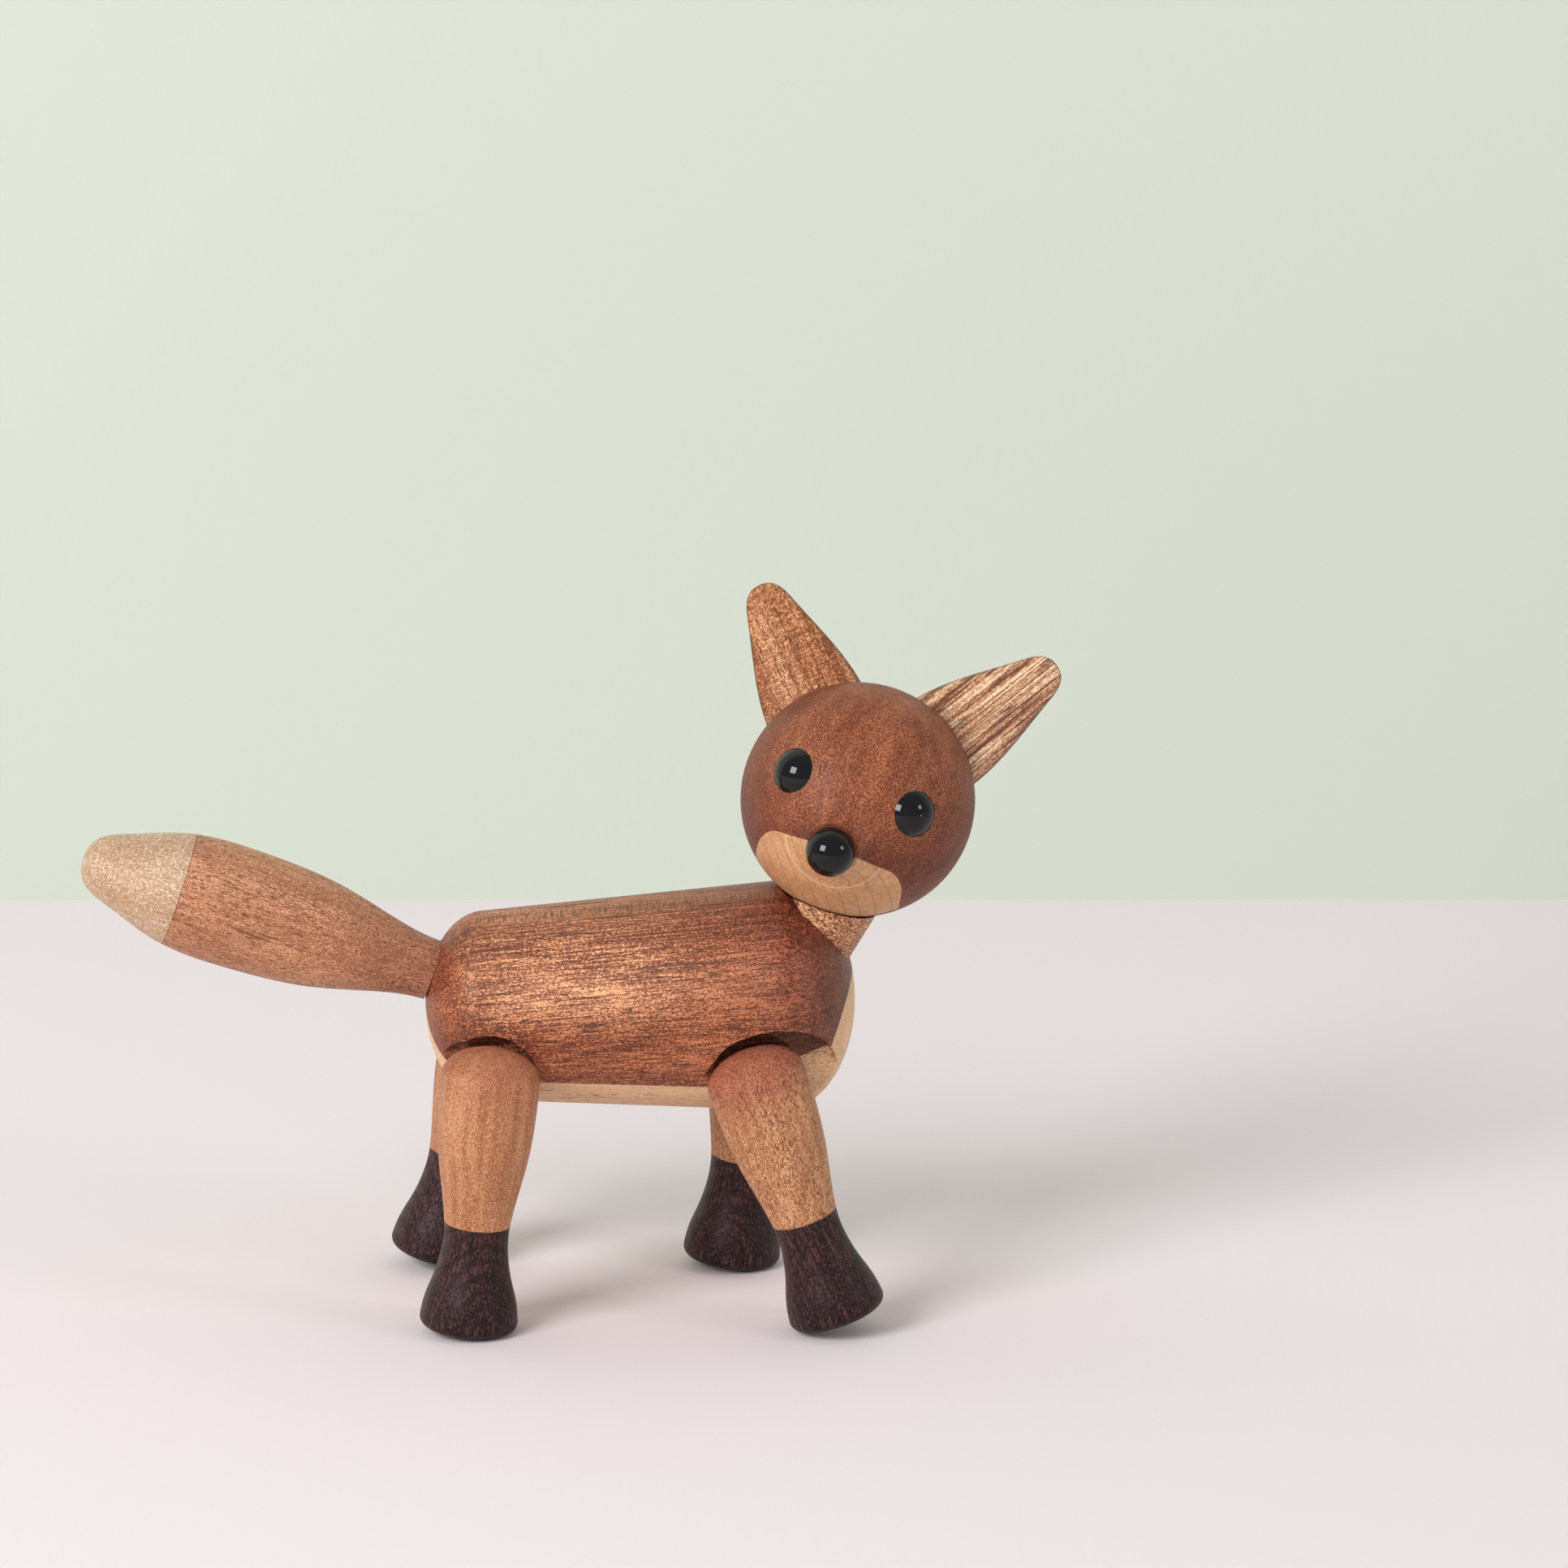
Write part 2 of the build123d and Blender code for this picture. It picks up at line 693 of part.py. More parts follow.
with BuildPart() as tail_tip:
    with BuildSketch(lathe(brush)):
        with BuildLine():
            point = Spline(
                (tail_seam_radius, tail_seam_length),
                (tail_end_radius, tail_end_length),
                (0, tail_length),
                tangents=((-0.16, 1), (-1, 0)),
            )
            Polyline(point @ 1, (0, tail_seam_length), point @ 0)
        make_face()
    revolve(axis=spindle(brush))
    with Locations(tail_seam):
        Cylinder(tail_dowel_radius, 2 * tail_dowel_depth, mode=Mode.SUBTRACT)

with BuildPart() as tail_tip_dowel:
    with Locations(tail_seam):
        Cylinder(tail_dowel_radius, 2 * tail_dowel_depth)

with BuildPart() as tail_peg:
    with Locations(brush.offset(-tail_peg_depth)):
        Cylinder(
            tail_peg_radius,
            tail_peg_depth + tail_gap + tail_peg_reach,
            align=(Align.CENTER, Align.CENTER, Align.MIN),
        )
    with Locations(tail_ring_plane):
        Torus(tail_ring_radius, ring_section, mode=Mode.SUBTRACT)

with BuildPart() as tail_ring:
    with Locations(tail_ring_plane):
        Torus(tail_ring_radius, ring_section)

# One file for each piece.
body_back.part.label = "body_back"
export_step(body_back.part, "parts/body_back.step")
belly_wedge.part.label = "belly_wedge"
export_step(belly_wedge.part, "parts/belly_wedge.step")
fore_axle.part.label = "fore_axle"
export_step(fore_axle.part, "parts/fore_axle.step")
hind_axle.part.label = "hind_axle"
export_step(hind_axle.part, "parts/hind_axle.step")
hip_rings.part.label = "hip_rings"
export_step(hip_rings.part, "parts/hip_rings.step")
neck.part.label = "neck"
export_step(neck.part, "parts/neck.step")
neck_dowel.part.label = "neck_dowel"
export_step(neck_dowel.part, "parts/neck_dowel.step")
head_ring.part.label = "head_ring"
export_step(head_ring.part, "parts/head_ring.step")
tail_peg.part.label = "tail_peg"
export_step(tail_peg.part, "parts/tail_peg.step")
tail_ring.part.label = "tail_ring"
export_step(tail_ring.part, "parts/tail_ring.step")
right_fore_leg.part.label = "right_fore_leg"
export_step(right_fore_leg.part, "parts/right_fore_leg.step")
right_fore_foot.part.label = "right_fore_foot"
export_step(right_fore_foot.part, "parts/right_fore_foot.step")
right_fore_ankle_dowel.part.label = "right_fore_ankle_dowel"
export_step(right_fore_ankle_dowel.part, "parts/right_fore_ankle_dowel.step")
right_hind_leg.part.label = "right_hind_leg"
export_step(right_hind_leg.part, "parts/right_hind_leg.step")
right_hind_foot.part.label = "right_hind_foot"
export_step(right_hind_foot.part, "parts/right_hind_foot.step")
right_hind_ankle_dowel.part.label = "right_hind_ankle_dowel"
export_step(right_hind_ankle_dowel.part, "parts/right_hind_ankle_dowel.step")
left_fore_leg.part.label = "left_fore_leg"
export_step(left_fore_leg.part, "parts/left_fore_leg.step")
left_fore_foot.part.label = "left_fore_foot"
export_step(left_fore_foot.part, "parts/left_fore_foot.step")
left_fore_ankle_dowel.part.label = "left_fore_ankle_dowel"
export_step(left_fore_ankle_dowel.part, "parts/left_fore_ankle_dowel.step")
left_hind_leg.part.label = "left_hind_leg"
export_step(left_hind_leg.part, "parts/left_hind_leg.step")
left_hind_foot.part.label = "left_hind_foot"
export_step(left_hind_foot.part, "parts/left_hind_foot.step")
left_hind_ankle_dowel.part.label = "left_hind_ankle_dowel"
export_step(left_hind_ankle_dowel.part, "parts/left_hind_ankle_dowel.step")
head_ball.part.label = "head_ball"
export_step(head_ball.part, "parts/head_ball.step")
muzzle_block.part.label = "muzzle_block"
export_step(muzzle_block.part, "parts/muzzle_block.step")
nose_bead.part.label = "nose_bead"
export_step(nose_bead.part, "parts/nose_bead.step")
right_eye.part.label = "right_eye"
export_step(right_eye.part, "parts/right_eye.step")
left_eye.part.label = "left_eye"
export_step(left_eye.part, "parts/left_eye.step")
right_ear.part.label = "right_ear"
export_step(right_ear.part, "parts/right_ear.step")
left_ear.part.label = "left_ear"
export_step(left_ear.part, "parts/left_ear.step")
right_ear_dowel.part.label = "right_ear_dowel"
export_step(right_ear_dowel.part, "parts/right_ear_dowel.step")
left_ear_dowel.part.label = "left_ear_dowel"
export_step(left_ear_dowel.part, "parts/left_ear_dowel.step")
tail.part.label = "tail"
export_step(tail.part, "parts/tail.step")
tail_tip.part.label = "tail_tip"
export_step(tail_tip.part, "parts/tail_tip.step")
tail_tip_dowel.part.label = "tail_tip_dowel"
export_step(tail_tip_dowel.part, "parts/tail_tip_dowel.step")
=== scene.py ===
import bpy
import json
import math
from mathutils import Matrix, Vector

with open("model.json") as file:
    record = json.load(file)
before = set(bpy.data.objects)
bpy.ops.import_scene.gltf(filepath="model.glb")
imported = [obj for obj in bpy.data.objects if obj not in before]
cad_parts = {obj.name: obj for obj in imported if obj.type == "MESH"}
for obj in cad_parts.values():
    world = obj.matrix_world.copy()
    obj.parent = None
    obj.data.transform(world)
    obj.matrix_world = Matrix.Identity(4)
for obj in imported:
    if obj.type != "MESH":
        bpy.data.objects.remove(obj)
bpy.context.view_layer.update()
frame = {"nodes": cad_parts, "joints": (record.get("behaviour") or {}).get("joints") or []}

# Back of the trunk: red-brown hardwood turned to a barrel, oiled to a satin finish. The grain
# runs along the barrel, so long open pores show on the flanks and dark end grain on the domes.
# The front dome is darkened further with painted shade, and a golden band along the upper flank
# is a painted highlight. It is glued along the ridge of the belly wedge.


class Graph:
    """A material under construction, with short calls for the nodes that wood needs."""

    def __init__(self, name):
        self.mat = bpy.data.materials.new(name)
        self.mat.use_nodes = True
        self.nodes = self.mat.node_tree.nodes
        self.links = self.mat.node_tree.links
        self.nodes.clear()
        self.out = self.nodes.new("ShaderNodeOutputMaterial")
        self.bsdf = self.nodes.new("ShaderNodeBsdfPrincipled")
        self.links.new(self.bsdf.outputs[0], self.out.inputs[0])
        self.coords = self.nodes.new("ShaderNodeTexCoord")

    def put(self, socket, value):
        """Links an output to the socket, or sets a plain value on it."""
        if hasattr(value, "is_output"):
            self.links.new(value, socket)
        else:
            socket.default_value = value

    def local(self, origin, along, across):
        """Object coordinates in millimetres: z along the grain, x across it."""
        z = Vector(along).normalized()
        x = (Vector(across) - z * Vector(across).dot(z)).normalized()
        turn = Matrix((x, z.cross(x), z)).transposed().to_euler()
        n = self.nodes.new("ShaderNodeMapping")
        n.vector_type = "TEXTURE"
        n.inputs["Location"].default_value = origin
        n.inputs["Rotation"].default_value = turn
        n.inputs["Scale"].default_value = (0.001, 0.001, 0.001)
        self.links.new(self.coords.outputs["Object"], n.inputs["Vector"])
        return n.outputs[0]

    def normal(self, direction):
        """How squarely the surface faces along a direction of the piece, from 0 to 1."""
        n = self.nodes.new("ShaderNodeVectorMath")
        n.operation = "DOT_PRODUCT"
        self.links.new(self.coords.outputs["Normal"], n.inputs[0])
        n.inputs[1].default_value = Vector(direction).normalized()
        return self.math("ABSOLUTE", n.outputs["Value"])

    def math(self, operation, a, b=0.0, c=0.0):
        n = self.nodes.new("ShaderNodeMath")
        n.operation = operation
        for socket, value in zip(n.inputs, (a, b, c)):
            self.put(socket, value)
        return n.outputs[0]

    def vector(self, operation, a, b=(0, 0, 0)):
        n = self.nodes.new("ShaderNodeVectorMath")
        n.operation = operation
        self.put(n.inputs[0], a)
        self.put(n.inputs[1], b)
        return n.outputs[0]

    def noise(self, at, scale, detail, roughness=0.5):
        """Cloudy noise with so many marks per millimetre along each axis."""
        n = self.nodes.new("ShaderNodeTexNoise")
        self.links.new(self.vector("MULTIPLY", at, scale), n.inputs["Vector"])
        n.inputs["Scale"].default_value = 1.0
        n.inputs["Detail"].default_value = detail
        n.inputs["Roughness"].default_value = roughness
        return n

    def step(self, value, low, high, to_low=0.0, to_high=1.0):
        """A soft step from to_low at low to to_high at high."""
        n = self.nodes.new("ShaderNodeMapRange")
        n.interpolation_type = "SMOOTHSTEP"
        for socket, v in zip(n.inputs, (value, low, high, to_low, to_high)):
            self.put(socket, v)
        return n.outputs[0]

    def ramp(self, value, stops):
        n = self.nodes.new("ShaderNodeValToRGB")
        while len(n.color_ramp.elements) < len(stops):
            n.color_ramp.elements.new(1.0)
        for e, (at, colour) in zip(n.color_ramp.elements, stops):
            e.position = at
            e.color = (*colour, 1.0)
        self.links.new(value, n.inputs[0])
        return n.outputs[0]

    def mix(self, factor, a, b, blend="MIX"):
        n = self.nodes.new("ShaderNodeMix")
        n.data_type = "RGBA"
        n.blend_type = blend
        for socket, value in zip((n.inputs[0], n.inputs[6], n.inputs[7]), (factor, a, b)):
            if not hasattr(value, "is_output") and not isinstance(value, float):
                value = (*value, 1.0)
            self.put(socket, value)
        return n.outputs[2]

    def split(self, at):
        n = self.nodes.new("ShaderNodeSeparateXYZ")
        self.links.new(at, n.inputs[0])
        return n.outputs


def wood(name, origin, along, across, tones, pores, roughness, figure=(0.10, 0.012, 0.9),
         streak=(1.3, 0.05, 0.9), grit=(3.8, 2.2, 1.6), vein=(2.4, 1.6, 0.28),
         lines=(0.8, 12.0, 0.0), layer_depth=1.0, warp=2.0, sheen=((1.0, 0.78, 0.56), 0.5),
         coat=0.06, seams=(), extra=None):
    """Oiled wood: broad figure, fibre streaks, grit, fine crossing veins, pores and long lines.

    tones run from dark to light. figure, streak, grit and vein give marks per millimetre across
    and along the grain and their weight. pores give colour, width and length in millimetres and
    amount; lines their number per millimetre, length and amount; seams are glue lines. A
    layer_depth below 1 draws all marks through the thickness of a thin piece.
    """
    tone_stops = (0.18, 0.50, 0.82)
    vein_width, vein_mean = 0.07, 0.76
    pore_depth = 0.85
    glue_colour = (0.03, 0.014, 0.008)
    oil_roughness = 0.32
    relief = 0.00009
    g = Graph(name)
    at = g.local(origin, along, across)
    bend = g.noise(at, (0.05, 0.05, 0.012), 1.0)
    drift = g.vector("MULTIPLY", g.vector("SUBTRACT", bend.outputs["Color"], (0.5, 0.5, 0.5)),
                     (warp, warp, warp))
    grain = g.vector("ADD", at, drift)
    tone = 0.5
    layers = []
    for (cross, length, weight), detail in ((figure, 3.0), (streak, 3.0), (grit, 2.0)):
        layer = g.noise(grain, (cross, cross * layer_depth, length), detail, 0.6).outputs["Fac"]
        tone = g.math("ADD", tone, g.math("MULTIPLY_ADD", layer, weight, -0.5 * weight))
        layers.append(layer)
    cross, length, weight = vein
    web = g.noise(grain, (cross, cross * layer_depth, length), 1.5, 0.6).outputs["Fac"]
    web = g.step(g.math("ABSOLUTE", g.math("SUBTRACT", web, 0.5)), 0.0, vein_width)
    tone = g.math("ADD", tone, g.math("MULTIPLY_ADD", web, weight, -vein_mean * weight))
    colour = g.ramp(tone, tuple(zip(tone_stops, tones)))
    crowd = g.noise(grain, (0.16, 0.16, 0.03), 1.0).outputs["Fac"]
    ink, wide, long, amount = pores
    per_pore = 0.62 / wide
    dash = g.noise(grain, (per_pore, per_pore * layer_depth, 0.8 / long), 1.0).outputs["Fac"]
    level = g.math("MULTIPLY_ADD", crowd, -0.26, 0.83 - 0.12 * amount)
    mark = g.step(dash, level, g.math("ADD", level, 0.06))
    per_mm, reach, many = lines
    if many:
        field = g.noise(grain, (per_mm, per_mm * layer_depth, 0.35 / reach), 1.0).outputs["Fac"]
        thin = g.step(g.math("ABSOLUTE", g.math("SUBTRACT", field, 0.5)), 0.002, 0.018, 1.0, 0.0)
        cut = g.noise(grain, (1.1, 1.1 * layer_depth, 1.0 / reach), 1.0).outputs["Fac"]
        cut = g.math("MULTIPLY_ADD", crowd, 0.8, g.math("ADD", cut, many - 1.0))
        mark = g.math("MAXIMUM", mark, g.math("MULTIPLY", thin, g.step(cut, 0.42, 0.56)))
    colour = g.mix(g.math("MULTIPLY", mark, pore_depth), colour, ink)
    height = g.math("MULTIPLY_ADD", mark, -1.0, g.math("MULTIPLY_ADD", web, 0.25, layers[2]))
    if extra:
        colour = extra(g, at, grain, colour)
    for seam in seams:
        off = g.math("ABSOLUTE", g.math("SUBTRACT", g.split(at)[2], seam))
        colour = g.mix(g.step(off, 0.08, 0.22, 0.6, 0.0), colour, glue_colour)
    g.links.new(colour, g.bsdf.inputs["Base Color"])
    rough = g.math("MULTIPLY_ADD", mark, 0.2, roughness - 0.1)
    rough = g.math("MULTIPLY_ADD", layers[2], 0.20, rough)
    g.links.new(rough, g.bsdf.inputs["Roughness"])
    g.bsdf.inputs["Specular Tint"].default_value = (*sheen[0], 1.0)
    g.bsdf.inputs["Specular IOR Level"].default_value = sheen[1]
    g.bsdf.inputs["Coat Weight"].default_value = coat
    g.bsdf.inputs["Coat Roughness"].default_value = oil_roughness
    bump = g.nodes.new("ShaderNodeBump")
    bump.inputs["Strength"].default_value = 0.6
    bump.inputs["Distance"].default_value = relief
    g.links.new(height, bump.inputs["Height"])
    g.links.new(bump.outputs[0], g.bsdf.inputs["Normal"])
    return g.mat


nodes = frame["nodes"]


def finish_with(names, material):
    """Gives the named pieces their one material."""
    for name in names:
        piece = nodes[name]
        piece.data.materials.clear()
        piece.data.materials.append(material)


def back_figure_and_highlight(g, at, grain, colour):
    """A painted highlight as a golden band on the upper flank, darker ends (end grain, with
    painted shade on the front), and short ray flecks on the top.
    """
    highlight_height, highlight_middle = 10.0, -14.0
    painted_highlight_gold, front_grain_and_shade, red_rear = (1.60, 2.3, 2.7), (0.56, 0.42, 0.56), (0.64, 0.42, 0.34)
    y, z = g.split(at)[1:]
    high = g.math("ABSOLUTE", g.math("SUBTRACT", y, highlight_height))
    high = g.step(high, 3.0, 12.0, 1.0, 0.0)
    middle = g.math("ABSOLUTE", g.math("SUBTRACT", z, highlight_middle))
    middle = g.step(middle, 10.0, 33.0, 1.0, 0.0)
    # Painted highlight: the upper flank turned golden where the key light shines on it.
    colour = g.mix(g.math("MULTIPLY", high, middle), colour, painted_highlight_gold, "MULTIPLY")
    # Front end darker and purple: partly end grain, partly painted shade on the chest.
    front = g.step(z, 14.0, 34.0)
    rear = g.step(z, -23.0, -36.0)
    colour = g.mix(front, colour, front_grain_and_shade, "MULTIPLY")
    colour = g.mix(rear, colour, red_rear, "MULTIPLY")
    up = g.normal(trunk_up)
    top = g.math("MULTIPLY", g.step(up, 0.945, 0.97), g.step(up, 0.988, 0.998, 1.0, 0.0))
    ray = g.noise(at, (0.36, 0.36, 2.4), 0.5).outputs["Fac"]
    colour = g.mix(g.math("MULTIPLY", top, 0.4), colour, (0.42, 0.165, 0.070))
    fleck = g.math("MULTIPLY", g.step(ray, 0.50, 0.56, 0.0, 0.75), top)
    return g.mix(fleck, colour, (0.115, 0.036, 0.018))


trunk_pitch = math.radians(2)
trunk_along = Vector((math.cos(trunk_pitch), 0, math.sin(trunk_pitch)))
trunk_up = Vector((-trunk_along.z, 0, trunk_along.x))
trunk_middle = (0, 0, 0.0573)
finish_with(["body_back"], wood(
    "back wood", trunk_middle, trunk_along + trunk_up * 0.05, (0, 1, 0),
    tones=((0.075, 0.012, 0.008), (0.270, 0.058, 0.023), (0.66, 0.235, 0.105)),
    pores=((0.050, 0.011, 0.011), 0.10, 2.6, 0.35), lines=(0.8, 36.0, 0.62),
    streak=(2.1, 0.013, 1.25), grit=(4.2, 2.0, 1.9), vein=(2.6, 1.4, 0.28),
    roughness=0.42, extra=back_figure_and_highlight, sheen=((1.0, 0.82, 0.58), 0.7), coat=0.0))

# Belly wedge: pale close-grained hardwood with faint growth lines and hardly a pore. The back
# is glued on to both of its upper faces and the cross dowels of the legs pass through it.
finish_with(["belly_wedge"], wood(
    "belly wood", trunk_middle, trunk_along, (0, 1, -0.2),
    tones=((0.62, 0.360, 0.190), (0.82, 0.510, 0.295), (0.92, 0.640, 0.400)),
    pores=((0.33, 0.16, 0.075), 0.16, 2.6, 0.4), roughness=0.48,
    streak=(1.8, 0.06, 0.8), grit=(3.2, 1.2, 0.9), vein=(2.4, 1.2, 0.22)))

# Neck: a short cone of the tan wood, its grain across the axis, so that turned end grain and
# rays cross on its flank. It is glued and dowelled to the chest.
joints = {j["name"]: j for j in frame["joints"]}
head_joint = joints["head_turn"]
neck_axis = Vector(head_joint["axis"])
head_centre = Vector(head_joint["pos_m"])
finish_with(["neck"], wood(
    "neck wood", head_centre, (0.80, -0.25, -0.55), (0, 1, 0),
    tones=((0.28, 0.090, 0.038), (0.68, 0.310, 0.150), (0.95, 0.590, 0.350)),
    pores=((0.11, 0.030, 0.016), 0.20, 1.1, 1.35), roughness=0.48, warp=7.0,
    streak=(1.4, 0.20, 1.1), grit=(3.2, 1.8, 1.6), vein=(1.7, 1.0, 0.46)))

# Legs: tan hardwood turned on the grain, oiled. The dome on top is end grain and drinks more
# oil, so it is redder and darker. Each leg turns on the cross dowel of its pair.


def red_top(depth):
    """The dome above the hip, redder by so much."""
    def shade(g, at, grain, colour):
        top = g.step(g.split(at)[2], -5.0, 6.5)
        return g.mix(g.math("MULTIPLY", top, depth), colour, (0.76, 0.52, 0.60), "MULTIPLY")
    return shade


legs = ("right_fore", "left_fore", "right_hind", "left_hind")
dome_red = {"fore": 1.1, "hind": 0.55}
leg_lean = {"right_fore": 18.6, "left_fore": -7.0, "right_hind": -5.2, "left_hind": -13.5}
leg_pores = {
    "right_fore": ((0.20, 0.062, 0.026), 0.15, 0.9, 1.35),
    "left_fore": ((0.22, 0.074, 0.032), 0.14, 1.0, 1.1),
    "right_hind": ((0.27, 0.095, 0.042), 0.10, 1.2, 0.45),
    "left_hind": ((0.24, 0.082, 0.036), 0.13, 1.0, 0.9),
}
leg_tones = {
    "fore": ((0.29, 0.098, 0.041), (0.56, 0.250, 0.122), (0.84, 0.460, 0.240)),
    "hind": ((0.27, 0.088, 0.036), (0.49, 0.205, 0.098), (0.74, 0.380, 0.195)),
}
ankle_drop = 25.6
for i, leg in enumerate(legs):
    lean = math.radians(leg_lean[leg])
    leg_up = (-math.sin(lean), 0, math.cos(lean))
    hip = joints[leg + "_swing"]["pos_m"]
    side = math.radians(35 + 70 * i)
    pair = leg.split("_")[1]
    finish_with([leg + "_leg"], wood(
        leg + " leg wood", hip, leg_up, (math.cos(side), math.sin(side), 0),
        tones=leg_tones[pair], pores=leg_pores[leg], roughness=0.50,
        extra=red_top(dome_red[pair]), seams=(-ankle_drop,),
        streak=(0.6, 0.012, 0.7), grit=(4.2, 2.8, 1.6), vein=(2.6, 2.0, 0.20),
        figure=(0.12, 0.015, 0.6)))

# Feet: very dark brown hardwood with fine reddish flecks, turned to a trumpet with the leg and
# dowelled to it. The growth rings cut the flare as arcs.


def dark_arcs(heart):
    """Growth rings round a line through the foot, so many millimetres beside its axis."""
    rings_per_mm = 4.6

    def shade(g, at, grain, colour):
        x, _, z = g.split(grain)
        beside = g.math("POWER", g.math("ADD", x, heart), 2.0)
        above = g.math("POWER", g.math("MULTIPLY_ADD", z, 0.5, 24.0), 2.0)
        ring = g.math("SQRT", g.math("ADD", beside, above))
        band = g.step(g.math("SINE", g.math("MULTIPLY", ring, rings_per_mm)), -0.3, 0.8)
        fleck = g.noise(at, (3.4, 3.4, 1.2), 2.0).outputs["Fac"]
        colour = g.mix(g.math("MULTIPLY", band, 0.65), colour, (0.009, 0.005, 0.006))
        return g.mix(g.step(fleck, 0.58, 0.66, 0.0, 0.6), colour, (0.125, 0.050, 0.028))
    return shade


foot_heart = {"right_fore": 17.0, "left_fore": 1.0, "right_hind": -1.5, "left_hind": 14.0}
for i, leg in enumerate(legs):
    lean = math.radians(leg_lean[leg])
    leg_up = (-math.sin(lean), 0, math.cos(lean))
    hip = joints[leg + "_swing"]["pos_m"]
    finish_with([leg + "_foot"], wood(
        leg + " foot wood", hip, leg_up, (1, 0.15 * (i - 1), 0),
        tones=((0.005, 0.002, 0.002), (0.026, 0.0102, 0.0108), (0.105, 0.041, 0.036)),
        pores=((0.006, 0.003, 0.003), 0.14, 3.0, 0.9), roughness=0.44,
        extra=dark_arcs(foot_heart[leg]), sheen=((1.0, 0.84, 0.90), 0.26), coat=0.0,
        streak=(2.2, 0.03, 1.6), grit=(3.4, 1.6, 2.0), vein=(2.0, 0.8, 0.22)))

# Head: a ball of finer, closer red-brown wood with the snout turned on it. Its sides are
# darkened with painted shade, leaving the brow lighter and redder, and faint streaks run down
# the face.
head_turned = math.radians(-99.0)
turn = Matrix.Rotation(head_turned, 3, neck_axis)
look, left, crown = (turn @ Vector(axis) for axis in ((1, 0, 0), (0, 1, 0), (0, 0, 1)))


def painted_side_shade(g, at, grain, colour):
    """Painted shade: darker where the ball turns away from the brow."""
    facing = g.step(g.normal(look + crown * 0.5), 0.20, 0.95, 1.0, 0.0)
    return g.mix(facing, colour, (0.55, 0.46, 0.52), "MULTIPLY")


finish_with(["head_ball"], wood(
    "head wood", head_centre, crown - look * 0.2, left,
    tones=((0.135, 0.031, 0.014), (0.280, 0.071, 0.030), (0.52, 0.182, 0.084)),
    pores=((0.10, 0.026, 0.016), 0.13, 0.6, 0.8), roughness=0.50, extra=painted_side_shade,
    figure=(0.09, 0.03, 0.9), streak=(0.45, 0.04, 0.7), grit=(4.0, 3.0, 2.2),
    vein=(2.6, 2.2, 0.26), sheen=((1.0, 0.78, 0.58), 0.42)))

# Muzzle: a pale block let into the ball from below and turned with it. Growth lines sweep
# across it, and a painted highlight marks the edge where the snout was turned.
nose_droop = math.radians(28.5)
nose_line = look * math.cos(nose_droop) - crown * math.sin(nose_droop)
snout_edge = 9.5


def growth_lines(g, at, grain, colour):
    """Growth rings round a line beside the block, and a painted highlight on the snout's turned
    edge.
    """
    painted_edge_highlight = (0.78, 0.56, 0.36)
    x, y, _ = g.split(grain)
    ring = g.math("SQRT", g.math("ADD", g.math("POWER", g.math("ADD", x, 24.0), 2.0),
                                 g.math("POWER", g.math("ADD", y, 9.0), 2.0)))
    line = g.step(g.math("SINE", g.math("MULTIPLY", ring, 2.4)), 0.72, 1.0, 0.0, 0.34)
    colour = g.mix(line, colour, (0.30, 0.145, 0.062))
    u, v, _ = g.split(g.local(head_centre, nose_line, left))
    reach = g.math("SQRT", g.math("ADD", g.math("POWER", u, 2.0), g.math("POWER", v, 2.0)))
    off = g.math("ABSOLUTE", g.math("SUBTRACT", reach, snout_edge))
    # Painted highlight along the turned edge of the snout.
    return g.mix(g.step(off, 0.05, 0.30, 0.55, 0.0), colour, painted_edge_highlight)


finish_with(["muzzle_block"], wood(
    "muzzle wood", head_centre, look * 0.5 - crown, left,
    tones=((0.43, 0.195, 0.085), (0.60, 0.305, 0.146), (0.74, 0.435, 0.235)),
    pores=((0.33, 0.14, 0.06), 0.15, 1.6, 0.4), roughness=0.48, extra=growth_lines,
    streak=(1.2, 0.08, 0.8), grit=(3.2, 1.8, 0.9), vein=(2.4, 1.8, 0.18)))

# Eyes and nose: black turned beads, polished to a mirror. Each has a short peg, glued into a
# socket that is bored in the head.
g = Graph("black bead")
at = g.local(head_centre, look, left)
smear = g.noise(at, (0.35, 0.35, 0.35), 3.0).outputs["Fac"]
g.links.new(g.ramp(smear, ((0.3, (0.002, 0.002, 0.0025)), (0.7, (0.004, 0.004, 0.005)))),
            g.bsdf.inputs["Base Color"])
g.links.new(g.step(smear, 0.3, 0.75, 0.02, 0.05), g.bsdf.inputs["Roughness"])
g.bsdf.inputs["Specular IOR Level"].default_value = 0.34
finish_with(["right_eye", "left_eye", "nose_bead"], g.mat)

# Ears: orange-brown petals, each sawn from its own board: the right shows short pores crossed
# by rays, the left long open pores. The thin rim is darker: end grain at the tip, painted shade
# round the rounded edge. Each is dowelled on.


def ear_frame(spread):
    """Direction of an ear out of the ball, across its flat side, and the way that side faces."""
    back, out = math.radians(9.0), math.radians(spread)
    up = (look * -math.sin(back) + left * math.sin(out) * math.cos(back)
          + crown * math.cos(out) * math.cos(back))
    wide = (left * -math.cos(out) + crown * math.sin(out)).normalized()
    return up, wide, up.cross(wide)


def rim(flat):
    """The darker rim of a petal whose flat side faces along flat: end grain at the tip, painted
        shade round the rounded edge.
    """
    def shade(g, at, grain, colour):
        # Painted shade darkens the rounded edge, over end grain at the tip.
        edge = g.step(g.normal(flat), 0.35, 0.84, 0.9, 0.0)
        return g.mix(edge, colour, (0.40, 0.24, 0.23), "MULTIPLY")
    return shade


def rays_and_rim(flat):
    """Short dark rays across the pores, and the darker rim with its painted shade."""
    def shade(g, at, grain, colour):
        ray = g.noise(at, (0.55, 0.1, 2.6), 0.5).outputs["Fac"]
        colour = g.mix(g.step(ray, 0.54, 0.60, 0.0, 0.55), colour, (0.15, 0.038, 0.013))
        return rim(flat)(g, at, grain, colour)
    return shade


